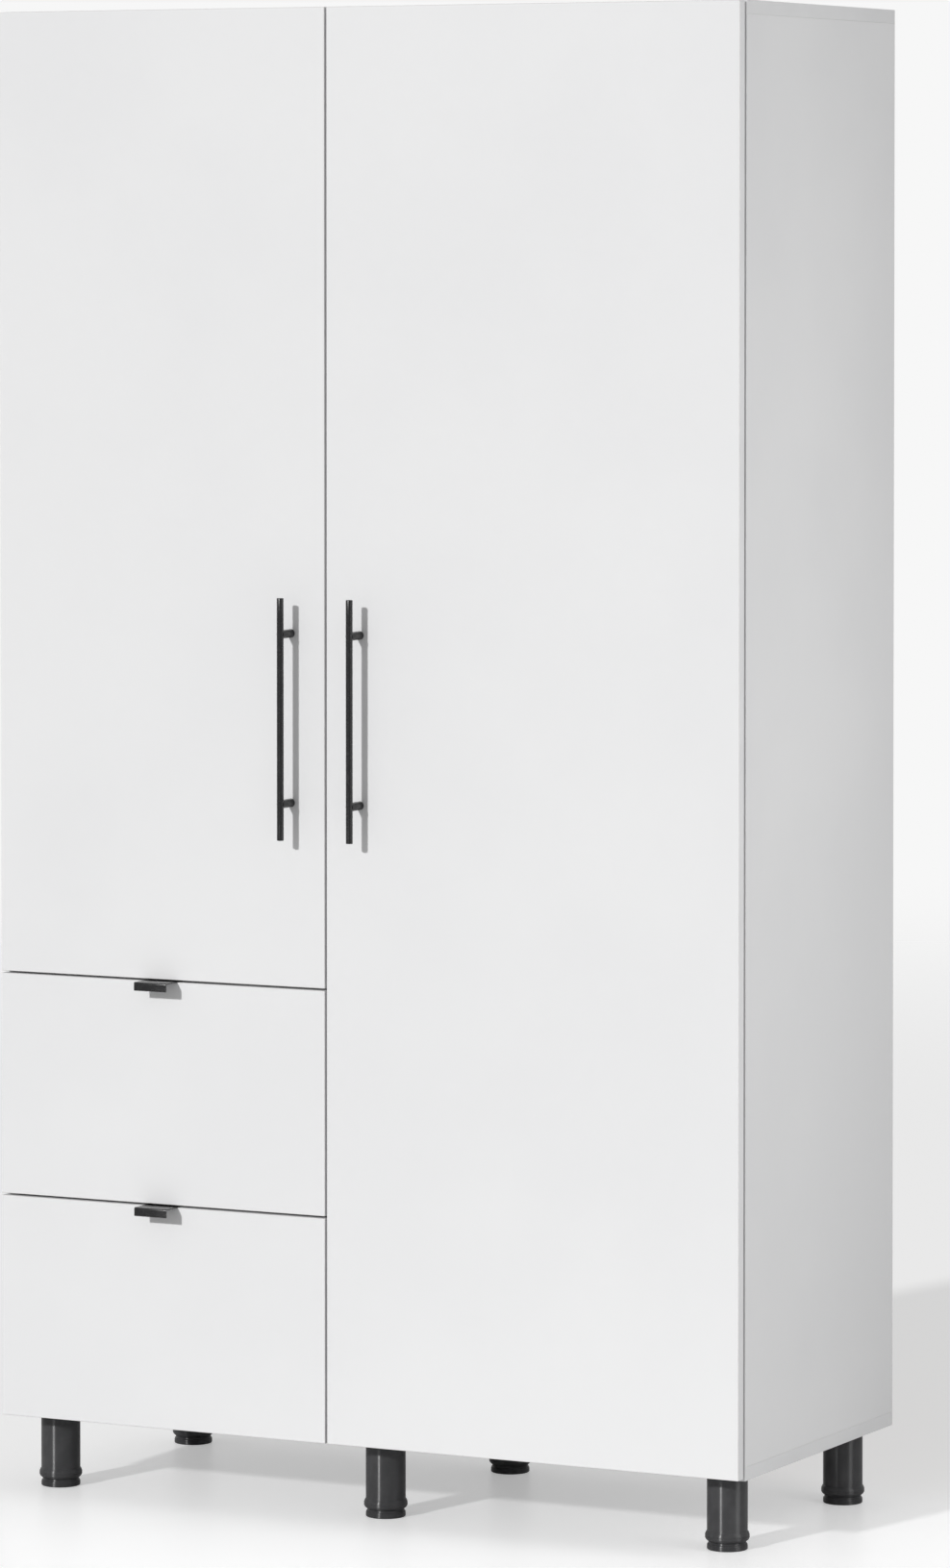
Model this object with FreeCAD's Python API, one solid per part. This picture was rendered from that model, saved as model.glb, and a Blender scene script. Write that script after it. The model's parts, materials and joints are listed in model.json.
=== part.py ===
import FreeCAD, Part
import os

os.makedirs("parts", exist_ok=True)
V = FreeCAD.Vector
UP = V(0, 0, 1)
BACK = V(0, 1, 0)
RIGHT = V(1, 0, 0)

# A two-bay wardrobe of white coated board. The left bay has a door over two drawers, the
# right bay one full-height door. Frame: +X right, +Y to the back, +Z up, with the origin on
# the floor at the middle of the overall box. All sizes are in millimetres.

# ---- carcass ----
carcass_width = 1100.0
carcass_height = 1900.0
board_depth = 471.0
board = 18.0             # thickness of every carcass board
back_sheet = 3.0         # hardboard back
left_bay = 472.0         # clear width of the drawer bay
edge_round = 0.5
back_inset = 1.5         # back sheets stop this far inside the carcass outline

# ---- fronts ----
front_thickness = 16.0
front_gap = 2.5          # air between a front and the carcass behind it
front_round = 1.0
side_reveal = 1.0
top_reveal = 1.0
bottom_reveal = 3.0
between_fronts = 3.0
drawer_front_height = 298.5

# ---- shelves and hanging rail ----
shelf_count = 3          # loose shelves above the drawers
shelf_setback = 22.0
shelf_play = 0.5         # each end of a loose shelf
hat_space = 322.0        # clear height above the hat shelf
pin_radius = 2.5
pin_length = 16.0        # half in the board, half under the shelf
pin_inset = 45.0         # from a shelf's front and rear edges
hole_pitch = 32.0        # spare pin holes above and below each shelf
rail_height = 30.0       # oval hanging rail
rail_width = 15.0
rail_wall = 1.2
rail_drop = 62.0         # hat shelf underside to the rail's middle
socket_base = 2.0
socket_wall = 2.0
socket_length = 12.0

# ---- board fittings ----
cam_radius = 7.5
cam_depth = 13.0
cam_distance = 34.0      # joint to the cam's middle
bolt_radius = 3.0
bolt_thread = 11.0       # length in the panel that the bolt is driven into
dowel_radius = 4.0
dowel_in_panel = 12.0
dowel_in_board = 22.0
fitting_inset = 60.0     # cams from the front and rear edges
dowel_offset = 32.0      # dowels from their cam
fit = 0.05               # radial room round a pin or screw in its hole
nail_radius = 0.7
nail_length = 20.0
nail_head_radius = 2.5
nail_head = 0.6
nail_spacing = 200.0

# ---- legs and feet ----
leg_height = 100.0
leg_radius = 26.5
leg_wall = 2.5
leg_inset_side = 50.0    # leg axis from the carcass side
leg_inset_front = 54.0   # leg axis from the front and rear edges
leg_plate = 3.0
leg_boss = 12.0          # plate's spigot inside the tube
collar_radius = 29.0
collar_middle = 17.5     # height of the collar's widest ring
collar_top = 24.5
collar_foot = 10.5       # underside of the leg
foot_ring = 7.5
foot_neck_radius = 24.5
foot_travel = 15.0       # how far a foot screws out
stem_radius = 12.0
sleeve_top = 62.0
sleeve_wall = 3.0
body_gap = 0.3           # between pieces that move past each other

# ---- door hinges: s runs in from the door's outer edge, t back from the carcass front ----
cup_radius = 17.5
cup_depth = 12.0
cup_wall = 1.0
cup_floor = 0.8
cup_tab = 3.0            # door edge to the cup
cup_rim = 1.2            # the rim's width outside the bore
flange_half_length = 31.0
flange_half_width = 11.0
flange_sheet = 0.8
cup_screw_spacing = 48.0
pin_in_door = 9.0        # hinge pin from the door's back face
pin_from_edge = 7.0      # hinge pin from the door's outer edge
hinge_pin_radius = 1.1
eye_radius = 1.9
arm_sheet = 2.0
arm_half_width = 5.0
arm_wide_half = 8.0
arm_length = 64.0
saddle_height = 4.8
plate_sheet = 1.5
plate_middle = 37.0      # plate screws from the carcass front
plate_screw_spacing = 32.0
hinge_end = 100.0        # hinge from a door's top or bottom
right_hinge_count = 4
hinge_above_shelf = 60.0

# ---- door handles ----
handle_length = 320.0
handle_bar_radius = 4.5
handle_stand_off = 30.0  # door face to the bar's axis
handle_post_radius = 5.75
handle_post_spacing = 224.0
handle_from_edge = 50.0
handle_height = 1062.0   # handle's middle above the floor
handle_screw_radius = 2.0
bumper_radius = 3.0
bumper_end = 24.0

# ---- drawers ----
drawer_board = 12.0
drawer_height = 220.0    # height of a drawer's sides
drawer_rise = 30.0       # drawer sides above the lower edge of the front
drawer_sheet = 3.0
groove_depth = 5.0
groove_rise = 10.0
groove_play = 0.1
drawer_rear_room = 24.0
pull_width = 49.0
pull_reach = 30.0
pull_sheet = 1.2
pull_lip = 11.5
pull_leg = 24.0
pull_bend = 2.0

# ---- ball-bearing runners ----
runner_room = 12.7       # width of a closed runner
runner_setback = 2.0
runner_sheet = 1.2
outer_half_height = 22.5
middle_half_height = 19.0
inner_half_height = 15.5
outer_flange = 8.5
middle_offset = 3.0
middle_flange = 6.5
inner_flange = 6.7
ball_radius = 0.85
ball_pitch = 14.0
cage_length = 110.0

# ---- places that follow from the sizes above ----
half_width = carcass_width / 2
floor_z = leg_height                       # underside of the carcass
roof_z = floor_z + carcass_height
inner_floor = floor_z + board
inner_roof = roof_z - board
total_depth = (handle_stand_off + handle_bar_radius + front_thickness + front_gap
               + board_depth + back_sheet + nail_head)
face_y = -total_depth / 2 + handle_stand_off + handle_bar_radius   # outer face of the fronts
front_back_y = face_y + front_thickness
carcass_y = front_back_y + front_gap
rear_y = carcass_y + board_depth

left_inner = -half_width + board
partition_left = left_inner + left_bay
partition_right = partition_left + board
partition_middle = partition_left + board / 2
right_inner = half_width - board
left_front = (-half_width + side_reveal, partition_middle - between_fronts / 2)
right_front = (partition_middle + between_fronts / 2, half_width - side_reveal)

fronts_bottom = floor_z + bottom_reveal
fronts_top = roof_z - top_reveal
lower_front_z = (fronts_bottom, fronts_bottom + drawer_front_height)
upper_front_z = (lower_front_z[1] + between_fronts,
                 lower_front_z[1] + between_fronts + drawer_front_height)
left_door_z = (upper_front_z[1] + between_fronts, fronts_top)
right_door_z = (fronts_bottom, fronts_top)

bay_shelf_z = upper_front_z[1] + between_fronts / 2 - board / 2
shelf_space = (inner_roof - bay_shelf_z - board - shelf_count * board) / (shelf_count + 1)
shelf_heights = [bay_shelf_z + board + shelf_space + n * (shelf_space + board)
                 for n in range(shelf_count)]
hat_shelf_z = inner_roof - hat_space - board
rail_z = hat_shelf_z - rail_drop
shelf_y = (carcass_y + shelf_setback, rear_y - 1.0)
rail_y = (shelf_y[0] + shelf_y[1]) / 2

side_face = board - side_reveal            # carcass side's inner face, as an s of the hinges
cup_middle = cup_tab + cup_radius
pin_t = -front_gap - pin_in_door
web_s = side_face + plate_sheet + saddle_height

boards_to_drill = {}
zinc_fixings = []


def box(x, y, z):
    """A block between two limits on each axis, given in either order."""
    (x0, x1), (y0, y1), (z0, z1) = sorted(x), sorted(y), sorted(z)
    return Part.makeBox(x1 - x0, y1 - y0, z1 - z0, V(x0, y0, z0))


def rod(radius, start, direction, length):
    return Part.makeCylinder(radius, length, start, direction)


def slab(x, y, z, rounding=edge_round):
    """A coated board with eased edges."""
    plain = box(x, y, z)
    return plain.makeFillet(rounding, plain.Edges)


def one_solid(shape):
    return shape.removeSplitter().Solids[0]


def save(node, *solids):
    drills = boards_to_drill.get(node, [])
    if drills:
        solids = [one_solid(solid.cut(drills)) for solid in solids]
    Part.makeCompound(list(solids)).exportStep("parts/" + node + ".step")


def drill(node, *tools):
    """Holes that are cut from a board when it is saved."""
    boards_to_drill.setdefault(node, []).extend(tools)


def screw(point, into, head_radius, head_height, shank_radius, shank_length):
    """A pan-head screw: point is under the head, into points along the shank."""
    head = rod(head_radius, point - into * head_height, into, head_height)
    shank = rod(shank_radius, point - into * head_height / 2, into, shank_length + head_height / 2)
    recess = rod(head_radius * 0.4, point - into * head_height, into, head_height * 0.5)
    return one_solid(head.fuse(shank).cut(recess))


# ---- board fittings: a cam and its bolt, or a dowel, across a joint ----
cams = []
dowels = []


def cam_joint(panel, post, point, along, face):
    """point lies on the joint at the post's mid thickness, along points into the post,
    face is the outward normal of the post's face that shows the cam."""
    cam_point = point + along * cam_distance + face * (board / 2)
    shank = rod(bolt_radius, point, along, cam_distance + 2.0)
    thread = rod(bolt_radius - 0.5, point - along * bolt_thread, along, bolt_thread)
    cam = rod(cam_radius, cam_point, -face, cam_depth)
    room = rod(bolt_radius + fit, point, along, cam_distance + 2.0 + fit)
    slot_across = along.cross(face)
    for direction, other in ((along, slot_across), (slot_across, along)):
        start = cam_point - direction * 5.0 - other * 0.6 - face * 1.5
        end = cam_point + direction * 5.0 + other * 0.6
        cam = cam.cut(box((start.x, end.x), (start.y, end.y), (start.z, end.z)))
    cams.append(one_solid(shank.fuse(thread)))
    cams.append(one_solid(cam.cut(room)))
    drill(panel, rod(bolt_radius - 0.5 + fit, point - along * (bolt_thread + fit), along, bolt_thread + fit))
    drill(post, room, rod(cam_radius + fit, cam_point, -face, cam_depth + fit))


def dowel_joint(panel, post, point, along):
    dowels.append(rod(dowel_radius, point - along * dowel_in_panel, along, dowel_in_panel + dowel_in_board))
    drill(panel, rod(dowel_radius + fit, point - along * (dowel_in_panel + fit), along, dowel_in_panel + fit))
    drill(post, rod(dowel_radius + fit, point, along, dowel_in_board + fit))


def board_joint(panel, post, x, z, along, face):
    """Two cams and two dowels across one board end, front and rear."""
    for edge_y, inward in ((carcass_y, 1), (rear_y, -1)):
        cam_y = edge_y + inward * fitting_inset
        cam_joint(panel, post, V(x, cam_y, z), along, face)
        dowel_joint(panel, post, V(x, cam_y + inward * dowel_offset, z), along)


def make_board_joints():
    uprights = (("left_side_panel", -half_width + board / 2, RIGHT),
                ("centre_partition", partition_middle, RIGHT),
                ("right_side_panel", half_width - board / 2, -RIGHT))
    for name, x, face in uprights:
        board_joint("top_panel", name, x, inner_roof, -UP, face)
        board_joint("bottom_panel", name, x, inner_floor, UP, face)
    shelf_middle = bay_shelf_z + board / 2
    board_joint("left_side_panel", "drawer_bay_shelf", left_inner, shelf_middle, RIGHT, -UP)
    board_joint("centre_partition", "drawer_bay_shelf", partition_left, shelf_middle, -RIGHT, -UP)
    save("cam_fittings", *cams)
    save("dowels", *dowels)


# ---- loose shelves on pins ----
shelf_pins = []


def pin_row(node, face_x, inward, z):
    """Two pins under one end of a shelf, with a spare hole above and below each."""
    for y in (shelf_y[0] + pin_inset, shelf_y[1] - pin_inset):
        start = face_x - inward * pin_length / 2
        shelf_pins.append(rod(pin_radius, V(start, y, z - pin_radius), RIGHT * inward, pin_length))
        for step in (-1, 0, 1):
            hole_z = z - pin_radius + step * hole_pitch
            drill(node, rod(pin_radius + fit, V(face_x, y, hole_z), RIGHT * -inward, pin_length / 2 + fit))


def make_shelves():
    names = ("lower_shelf", "middle_shelf", "upper_shelf")
    for name, z in zip(names, shelf_heights):
        save(name, slab((left_inner + shelf_play, partition_left - shelf_play), shelf_y, (z, z + board)))
        pin_row("left_side_panel", left_inner, 1, z)
        pin_row("centre_partition", partition_left, -1, z)
    save("hat_shelf", slab((partition_right + shelf_play, right_inner - shelf_play), shelf_y,
                           (hat_shelf_z, hat_shelf_z + board)))
    pin_row("centre_partition", partition_right, 1, hat_shelf_z)
    pin_row("right_side_panel", right_inner, -1, hat_shelf_z)
    save("shelf_pins", *shelf_pins)
    save("drawer_bay_shelf", slab((left_inner, partition_left), (carcass_y, rear_y),
                                  (bay_shelf_z, bay_shelf_z + board)))


# ---- hanging rail ----
def oval(height, width, x, length):
    """A bar of oval section along X, with flat sides and round top and bottom."""
    straight = height - width
    core = box((x, x + length), (rail_y - width / 2, rail_y + width / 2),
               (rail_z - straight / 2, rail_z + straight / 2))
    ends = [rod(width / 2, V(x, rail_y, rail_z + side * straight / 2), RIGHT, length) for side in (-1, 1)]
    return core.fuse(ends).removeSplitter()


def rail_socket(node, face_x, inward):
    """A flange with an open-topped cradle that the rail's end drops into."""
    grow = 2 * (body_gap + socket_wall)
    cradle_x = min(face_x, face_x + inward * (socket_base + socket_length))
    cradle = oval(rail_height + grow, rail_width + grow, cradle_x, socket_base + socket_length)
    hollow_x = min(face_x + inward * socket_base, face_x + inward * (socket_base + socket_length))
    hollow = oval(rail_height + 2 * body_gap, rail_width + 2 * body_gap, hollow_x, socket_length)
    mouth = box((hollow_x, hollow_x + socket_length),
                (rail_y - rail_width / 2 - body_gap, rail_y + rail_width / 2 + body_gap),
                (rail_z, rail_z + rail_height))
    flange_x = min(face_x, face_x + inward * socket_base)
    flange = oval(rail_height + grow + 26.0, rail_width + grow, flange_x, socket_base)
    socket = flange.fuse(cradle).cut([hollow, mouth])
    for side in (-1, 1):
        point = V(face_x + inward * socket_base, rail_y, rail_z + side * (rail_height / 2 + 10.0))
        into = RIGHT * -inward
        zinc_fixings.append(screw(point, into, 3.5, 1.6, 1.75, 14.0))
        hole = rod(1.75 + fit, point, into, 14.0 + fit)
        socket = socket.cut(hole)
        drill(node, hole)
    return one_solid(socket)


def make_hanging_rail():
    start = partition_right + socket_base + body_gap
    end = right_inner - socket_base - body_gap
    tube = oval(rail_height, rail_width, start, end - start)
    bore = oval(rail_height - 2 * rail_wall, rail_width - 2 * rail_wall, start, end - start)
    save("hanging_rail", one_solid(tube.cut(bore)))
    save("rail_sockets", rail_socket("centre_partition", partition_right, 1),
         rail_socket("right_side_panel", right_inner, -1))


# ---- back sheets, nailed to the rear edges of the boards ----
def nail(x, z, *nodes):
    point = V(x, rear_y + back_sheet, z)
    head = rod(nail_head_radius, point, BACK, nail_head)
    shank = rod(nail_radius, point, -BACK, nail_length)
    zinc_fixings.append(one_solid(head.fuse(shank)))
    for node in nodes:
        drill(node, rod(nail_radius + fit, point, -BACK, nail_length + fit))


def spread(low, high, spacing):
    """Evenly spaced places between two ends, both included."""
    steps = max(1, round((high - low) / spacing))
    return [low + n * (high - low) / steps for n in range(steps + 1)]


def make_back_sheets():
    sheets = (("left_back_panel", -half_width + back_inset, partition_middle - 1.0,
               "left_side_panel", -half_width + board / 2, "centre_partition", partition_middle - 5.0),
              ("right_back_panel", partition_middle + 1.0, half_width - back_inset,
               "centre_partition", partition_middle + 5.0, "right_side_panel", half_width - board / 2))
    for node, x0, x1, near_board, near_x, far_board, far_x in sheets:
        for z in spread(inner_floor + 40.0, inner_roof - 40.0, nail_spacing):
            nail(near_x, z, node, near_board)
            nail(far_x, z, node, far_board)
        for x in spread(near_x + 50.0, far_x - 50.0, nail_spacing):
            nail(x, floor_z + board / 2, node, "bottom_panel")
            nail(x, roof_z - board / 2, node, "top_panel")
        save(node, box((x0, x1), (rear_y, rear_y + back_sheet), (floor_z + back_inset, roof_z - back_inset)))


# ---- legs and levelling feet ----
def turned(profile, x, y):
    """A solid of revolution about a vertical axis, from (radius, height) points."""
    points = [V(radius, 0, z) for radius, z in profile]
    face = Part.Face(Part.makePolygon(points + points[:1]))
    return face.revolve(V(0, 0, 0), UP, 360).translated(V(x, y, 0))


def leg_tube(x, y):
    inner = leg_radius - leg_wall
    bore = stem_radius + fit
    floor_top = collar_foot + 3.5
    tube_top = leg_height - leg_plate
    solid = turned([(bore, collar_foot), (foot_neck_radius + 0.5, collar_foot),
                    (collar_radius - 1.2, collar_middle - 4.5), (collar_radius, collar_middle - 2.0),
                    (collar_radius, collar_middle + 1.5), (collar_radius - 0.9, collar_middle + 4.5),
                    (leg_radius, collar_top), (leg_radius, tube_top), (inner, tube_top),
                    (inner, floor_top), (bore + sleeve_wall, floor_top),
                    (bore + sleeve_wall, sleeve_top), (bore, sleeve_top)], x, y)
    return solid


def leg_top_plate(x, y):
    inner = leg_radius - leg_wall - fit
    low = leg_height - leg_plate
    solid = turned([(0, low), (inner - 2.0, low), (inner - 2.0, low - leg_boss), (inner, low - leg_boss),
                    (inner, low), (leg_radius, low), (leg_radius, leg_height), (0, leg_height)], x, y)
    for dx, dy in ((0, 15.0), (13.0, -7.5), (-13.0, -7.5)):
        point = V(x + dx, y + dy, low)
        hole = rod(2.0 + fit, point, UP, leg_plate + 12.0)
        zinc_fixings.append(screw(point, UP, 4.0, 2.0, 2.0, leg_plate + 11.5))
        solid = solid.cut(hole)
        drill("bottom_panel", hole)
    return one_solid(solid)


def foot(x, y):
    neck_top = collar_foot - body_gap
    solid = turned([(0, 0), (leg_radius - 1.0, 0), (leg_radius, 1.0), (leg_radius, foot_ring - 1.0),
                    (leg_radius - 1.0, foot_ring), (foot_neck_radius, foot_ring + 0.6),
                    (foot_neck_radius, neck_top), (stem_radius, neck_top),
                    (stem_radius, sleeve_top - 2.0), (0, sleeve_top - 2.0)], x, y)
    return solid


def make_legs():
    rows = (("front", carcass_y + leg_inset_front), ("rear", rear_y + back_sheet - leg_inset_front))
    columns = (("left", -half_width + leg_inset_side), ("middle", 0.0), ("right", half_width - leg_inset_side))
    for row, y in rows:
        for column, x in columns:
            place = row + "_" + column
            save("leg_" + place, leg_tube(x, y), leg_top_plate(x, y))
            save("foot_" + place, foot(x, y))


# ---- concealed hinges ----
def hinge_places():
    """Door side, carcass board, and heights of its hinges. side is -1 left, +1 right."""
    low, high = left_door_z[0] + hinge_end, left_door_z[1] - hinge_end
    middle = shelf_heights[shelf_count // 2] + board + hinge_above_shelf
    right_low, right_high = right_door_z[0] + hinge_end, right_door_z[1] - hinge_end
    step = (right_high - right_low) / (right_hinge_count - 1)
    right = [right_low + n * step for n in range(right_hinge_count)]
    return ((-1, "left_side_panel", [low, middle, high]), (1, "right_side_panel", right))


def at_hinge(side, s, t, z=0.0):
    """A point given from the door's outer edge (s) and the carcass front (t)."""
    return V(side * (half_width - side_reveal - s), carcass_y + t, z)


def hinge_box(side, s, t, z):
    a, b = at_hinge(side, s[0], t[0], z[0]), at_hinge(side, s[1], t[1], z[1])
    return box((a.x, b.x), (a.y, b.y), (a.z, b.z))


def hinge_arm(side, z):
    """A bent arm: an eye on the pin, a neck out of the cup, and a channel over the plate."""
    pin = at_hinge(side, pin_from_edge, pin_t, z - arm_half_width)
    eye = rod(eye_radius, pin, UP, 2 * arm_half_width)
    across = RIGHT * -side
    half = arm_sheet / 2
    neck = hinge_box(side, (pin_from_edge, web_s + arm_sheet), (pin_t - half, pin_t + half),
                     (z - arm_half_width, z + arm_half_width))
    leg = hinge_box(side, (web_s, web_s + arm_sheet), (pin_t - half, 6.0),
                    (z - arm_half_width, z + arm_half_width))
    web = hinge_box(side, (web_s, web_s + arm_sheet), (4.0, arm_length), (z - arm_wide_half, z + arm_wide_half))
    cheeks = [hinge_box(side, (side_face + plate_sheet + 0.5, web_s + arm_sheet), (10.0, arm_length),
                        (z + low, z + high))
              for low, high in ((-arm_wide_half, -arm_wide_half + 1.2), (arm_wide_half - 1.2, arm_wide_half))]
    bore = rod(hinge_pin_radius + fit, pin - UP, UP, 2 * arm_half_width + 2.0)
    arm = neck.fuse([eye, leg, web] + cheeks).cut(bore)
    screws = []
    for t in (20.0, 52.0):
        point = at_hinge(side, web_s + arm_sheet, t, z)
        screws.append(screw(point, -across, 3.5, 1.4, 2.0, arm_sheet + 2.5))
        arm = arm.cut(rod(2.0 + fit, point + across, -across, arm_sheet + 2.0))
    return [one_solid(arm)] + screws


def hinge_plate(node, side, z):
    """A winged plate screwed to the carcass side, with a saddle under the arm."""
    across = RIGHT * -side
    wing = hinge_box(side, (side_face, side_face + plate_sheet), (plate_middle - 9.0, plate_middle + 9.0),
                     (z - plate_screw_spacing / 2 - 10.0, z + plate_screw_spacing / 2 + 10.0))
    foot_strip = hinge_box(side, (side_face, side_face + plate_sheet), (12.0, arm_length - 2.0),
                           (z - arm_wide_half, z + arm_wide_half))
    saddle = hinge_box(side, (side_face, web_s), (12.0, arm_length - 2.0),
                       (z - arm_wide_half + 1.6, z + arm_wide_half - 1.6))
    plate = wing.fuse([foot_strip, saddle])
    for t in (20.0, 52.0):
        point = at_hinge(side, web_s, t, z)
        plate = plate.cut(rod(2.0 + fit, point, -across, 2.5 + fit))
    for end in (-1, 1):
        point = at_hinge(side, side_face + plate_sheet, plate_middle, z + end * plate_screw_spacing / 2)
        hole = rod(2.2 + fit, point, -across, 13.0 + fit)
        zinc_fixings.append(screw(point, -across, 4.0, 1.6, 2.2, 13.0))
        plate = plate.cut(hole)
        drill(node, hole)
    return one_solid(plate)


def hinge_cup(door, side, z):
    """A cup let into the door's back, with a screwed flange and the hinge pin."""
    mouth = at_hinge(side, cup_middle, -front_gap, z)
    outer = rod(cup_radius, mouth, -BACK, cup_depth)
    flange = hinge_box(side, (cup_middle - flange_half_width, cup_middle + flange_half_width),
                       (-front_gap, -front_gap + flange_sheet),
                       (z - flange_half_length, z + flange_half_length))
    upright = [edge for edge in flange.Edges if abs(edge.Vertexes[0].Y - edge.Vertexes[1].Y) > flange_sheet / 2]
    flange = flange.makeFillet(flange_half_width / 2, upright)
    rim = rod(cup_radius + cup_rim, mouth, BACK, flange_sheet)
    hollow = rod(cup_radius - cup_wall, mouth + BACK * flange_sheet, -BACK,
                 cup_depth - cup_floor + flange_sheet)
    pin_start = at_hinge(side, pin_from_edge, pin_t, z - cup_radius)
    pin = rod(hinge_pin_radius, pin_start, UP, 2 * cup_radius)
    pin = pin.common(rod(cup_radius - cup_wall / 2, mouth, -BACK, cup_depth))
    pin_hole = rod(hinge_pin_radius + fit, pin_start, UP, 2 * cup_radius)
    cup = outer.fuse([flange, rim]).cut([hollow, pin_hole])
    screws = []
    for end in (-1, 1):
        point = at_hinge(side, cup_middle + flange_half_width / 2, -front_gap + flange_sheet,
                         z + end * cup_screw_spacing / 2)
        hole = rod(1.75 + fit, point, -BACK, 11.0 + fit)
        screws.append(screw(point, -BACK, 3.2, 1.3, 1.75, 11.0))
        cup = cup.cut(hole)
        drill(door, hole)
    drill(door, rod(cup_radius + fit, mouth, -BACK, cup_depth + fit))
    return [one_solid(cup), one_solid(pin)], screws


def door_handle(door, x):
    """A round bar on two posts, bolted through the door."""
    bar_start = V(x, face_y - handle_stand_off, handle_height - handle_length / 2)
    bar = rod(handle_bar_radius, bar_start, UP, handle_length)
    bar = bar.makeFillet(0.6, [edge for edge in bar.Edges if edge.isClosed()])
    posts, screws = [], []
    for end in (-1, 1):
        base = V(x, face_y, handle_height + end * handle_post_spacing / 2)
        post = rod(handle_post_radius, base, -BACK, handle_stand_off)
        hole = rod(handle_screw_radius + fit, base + BACK * front_thickness, -BACK, front_thickness + 12.0)
        posts.append(one_solid(post.cut([rod(handle_bar_radius + fit, bar_start, UP, handle_length), hole])))
        screws.append(screw(base + BACK * front_thickness, -BACK, 4.0, 2.0, handle_screw_radius,
                            front_thickness + 10.0))
        drill(door, hole)
    return bar, posts, screws


def make_doors():
    arms, plates = [], []
    doors = {-1: ("left", left_front, left_door_z, left_front[1]),
             1: ("right", right_front, right_door_z, right_front[0])}
    for side, panel, heights in hinge_places():
        name, width, height, free_x = doors[side]
        door = name + "_door"
        cups, screws = [], []
        for z in heights:
            arms += hinge_arm(side, z)
            plates.append(hinge_plate(panel, side, z))
            cup_and_pin, cup_screws = hinge_cup(door, side, z)
            cups += cup_and_pin
            screws += cup_screws
        bar, posts, handle_screws = door_handle(door, free_x + side * handle_from_edge)
        bumper_x = (free_x + partition_middle + side * board / 2) / 2
        bumpers = [rod(bumper_radius, V(bumper_x, front_back_y, z), BACK, front_gap - body_gap)
                   for z in (max(height[0], inner_floor) + bumper_end, min(height[1], inner_roof) - bumper_end)]
        save(door, slab(width, (face_y, front_back_y), height, front_round))
        save(name + "_hinge_cups", *cups)
        save(name + "_door_screws", *(screws + handle_screws))
        save(name + "_handle_bar", bar)
        save(name + "_handle_posts", *posts)
        save(name + "_door_bumpers", *bumpers)
    save("hinge_arms", *arms)
    save("hinge_plates", *plates)


# ---- drawers and their runners ----
box_left = left_inner + runner_room
box_right = partition_left - runner_room
box_rear = rear_y - drawer_rear_room
runner_y = (carcass_y + runner_setback, box_rear)
screw_places = [runner_y[0] + share * (runner_y[1] - runner_y[0]) for share in (0.08, 0.5, 0.92)]


def channel(face_x, inward, web, open_side, half_height, flange, z, y=runner_y):
    """A U-shaped rail. web is the distance of its web's back from the face at face_x, and
    its flanges reach flange from there, away from the face if open_side is 1."""
    def span(a, b):
        return (face_x + inward * a, face_x + inward * b)
    back = box(span(web, web + open_side * runner_sheet), y, (z - half_height, z + half_height))
    flanges = [box(span(web, web + open_side * flange), y, sorted((z + end * half_height,
               z + end * (half_height - runner_sheet)))) for end in (-1, 1)]
    return back.fuse(flanges).removeSplitter()


def ball_cage(face_x, inward, level, z, start_y):
    """A strip of balls that runs between two rails."""
    x = face_x + inward * (middle_offset + middle_flange / 2)
    strip = box((x - 1.5, x + 1.5), (start_y, start_y + cage_length),
                (z + level - ball_radius / 3, z + level + ball_radius / 3))
    count = int(cage_length / ball_pitch)
    balls = [Part.makeSphere(ball_radius, V(x, start_y + (n + 0.5) * cage_length / count, z + level))
             for n in range(count)]
    return one_solid(strip.fuse(balls))


def runner(panel, face_x, inward, z):
    """Three telescoping rails on one side of a drawer. Returns outer, middle, inner solids."""
    outer = channel(face_x, inward, 0.0, 1, outer_half_height, outer_flange, z)
    middle = channel(face_x, inward, middle_offset, 1, middle_half_height, middle_flange, z)
    inner = channel(face_x, inward, runner_room, -1, inner_half_height, inner_flange, z)
    across = RIGHT * inward
    inner_screws, side_holes = [], []
    for y in screw_places:
        point = V(face_x + inward * runner_sheet, y, z)
        hole = rod(1.75 + fit, point, -across, runner_sheet + 12.0 + fit)
        zinc_fixings.append(screw(point, -across, 3.4, 1.2, 1.75, runner_sheet + 12.0))
        outer = outer.cut(hole)
        drill(panel, hole)
        point = V(face_x + inward * (runner_room - runner_sheet), y, z)
        hole = rod(1.75 + fit, point, across, runner_sheet + 9.0 + fit)
        inner_screws.append(screw(point, across, 3.4, 1.2, 1.75, runner_sheet + 9.0))
        inner = inner.cut(hole)
        side_holes.append(hole)
    outer_race = (outer_half_height - runner_sheet + middle_half_height) / 2
    inner_race = (middle_half_height - runner_sheet + inner_half_height) / 2
    cages = [ball_cage(face_x, inward, end * race, z, runner_y[0] + 30.0 + shift)
             for end in (-1, 1) for race, shift in ((outer_race, cage_length), (inner_race, 0.0))]
    middle_set = [one_solid(middle)] + cages
    return one_solid(outer), middle_set, [one_solid(inner)] + inner_screws, side_holes


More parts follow.
